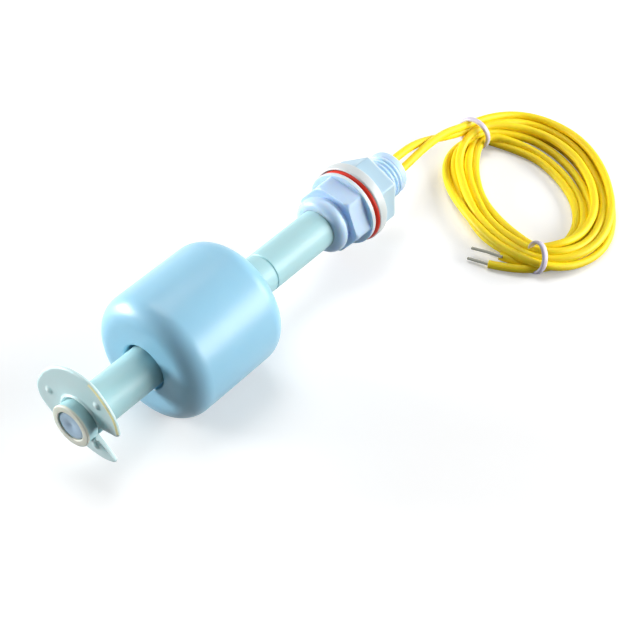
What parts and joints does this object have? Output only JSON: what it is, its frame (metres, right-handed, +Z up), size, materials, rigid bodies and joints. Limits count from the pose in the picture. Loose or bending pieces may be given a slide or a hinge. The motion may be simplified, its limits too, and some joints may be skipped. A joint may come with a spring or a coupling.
{
  "type": "float switch",
  "caption": "Vertical plastic float switch with a sliding float, retaining clip, O-ring, flanged nut and two yellow flying leads in a tied coil",
  "frame": {"origin": "middle of the switch's length, on the surface it lies on, straight below the stem's axis", "axes": "+X along the stem from the clip end to the threaded end, +Z up, +Y to the left when looking along +X"},
  "size_m": [0.1389, 0.0542, 0.0255],
  "materials": {
    "fitting_plastic": "moulded polypropylene, pale periwinkle blue, satin gloss",
    "stem_plastic": "extruded polypropylene, pale aqua, slightly translucent",
    "plug_plastic": "moulded polypropylene, periwinkle",
    "clip_plastic": "thin clear polypropylene with a teal tint",
    "potting_resin": "cast epoxy",
    "reed_glass": "drawn green soda glass",
    "reed_metal": "plated nickel iron",
    "copper_wire": "drawn copper",
    "solder": "solidified tin solder",
    "sleeve_plastic": "shrunk polyolefin tube",
    "lead_insulation": "extruded yellow PVC",
    "float_plastic": "moulded polypropylene, sky blue, satin gloss",
    "ferrite": "sintered ferrite",
    "seal_rubber": "moulded red rubber",
    "nut_plastic": "moulded polypropylene, pale blue grey, satin gloss",
    "tie_plastic": "soft natural polyethylene",
    "tinned_strand": "twisted tinned copper strands"
  },
  "bodies": {
    "switch_body": {"fitting_body": "fitting_plastic", "stem_tube": "stem_plastic", "stem_end_plug": "plug_plastic", "retaining_clip": "clip_plastic", "potting_plug": "potting_resin", "reed_glass": "reed_glass", "reed_blade_fixed": "reed_metal", "reed_lead_front": "reed_metal", "return_wire": "copper_wire", "solder_joints": "solder", "shrink_sleeves": "sleeve_plastic", "lead_inner_a": "lead_insulation", "lead_inner_b": "lead_insulation", "lead_a": "lead_insulation", "lead_b": "lead_insulation", "lead_coil": "lead_insulation", "tie_upper": "tie_plastic", "tie_lower": "tie_plastic", "tail_a": "lead_insulation", "tail_b": "lead_insulation", "conductor_a": "tinned_strand", "conductor_b": "tinned_strand"},
    "float": {"float_shell": "float_plastic", "float_cap": "float_plastic", "ring_magnet": "ferrite"},
    "seal": {"o_ring": "seal_rubber"},
    "nut": {"flange_nut": "nut_plastic"},
    "reed_blade": {"reed_blade_moving": "reed_metal"}
  },
  "joints": [
    {"name": "float_slide", "type": "slide", "parent": "switch_body", "child": "float", "axis": [1, 0, 0], "range_m": [-0.0143, 0.0235]},
    {"name": "nut_travel", "type": "slide", "parent": "switch_body", "child": "seal", "axis": [1, 0, 0], "range_m": [0, 0.006]},
    {"name": "nut_turn", "type": "hinge", "parent": "seal", "child": "nut", "pos_m": [0.035, 0, 0.01275], "axis": [1, 0, 0], "range_deg": [0, 1440]},
    {"name": "reed_flex", "type": "hinge", "parent": "switch_body", "child": "reed_blade", "pos_m": [-0.03305, -0.00108, 0.01221], "axis": [0, 1, 0], "range_deg": [-1.9, 1.13]}
  ],
  "couplings": [
    {"joint": "nut_turn", "follows": "nut_travel", "rad_per_m": 4188.8},
    {"joint": "reed_flex", "follows": "float_slide", "rad_per_m": -1.373}
  ]
}
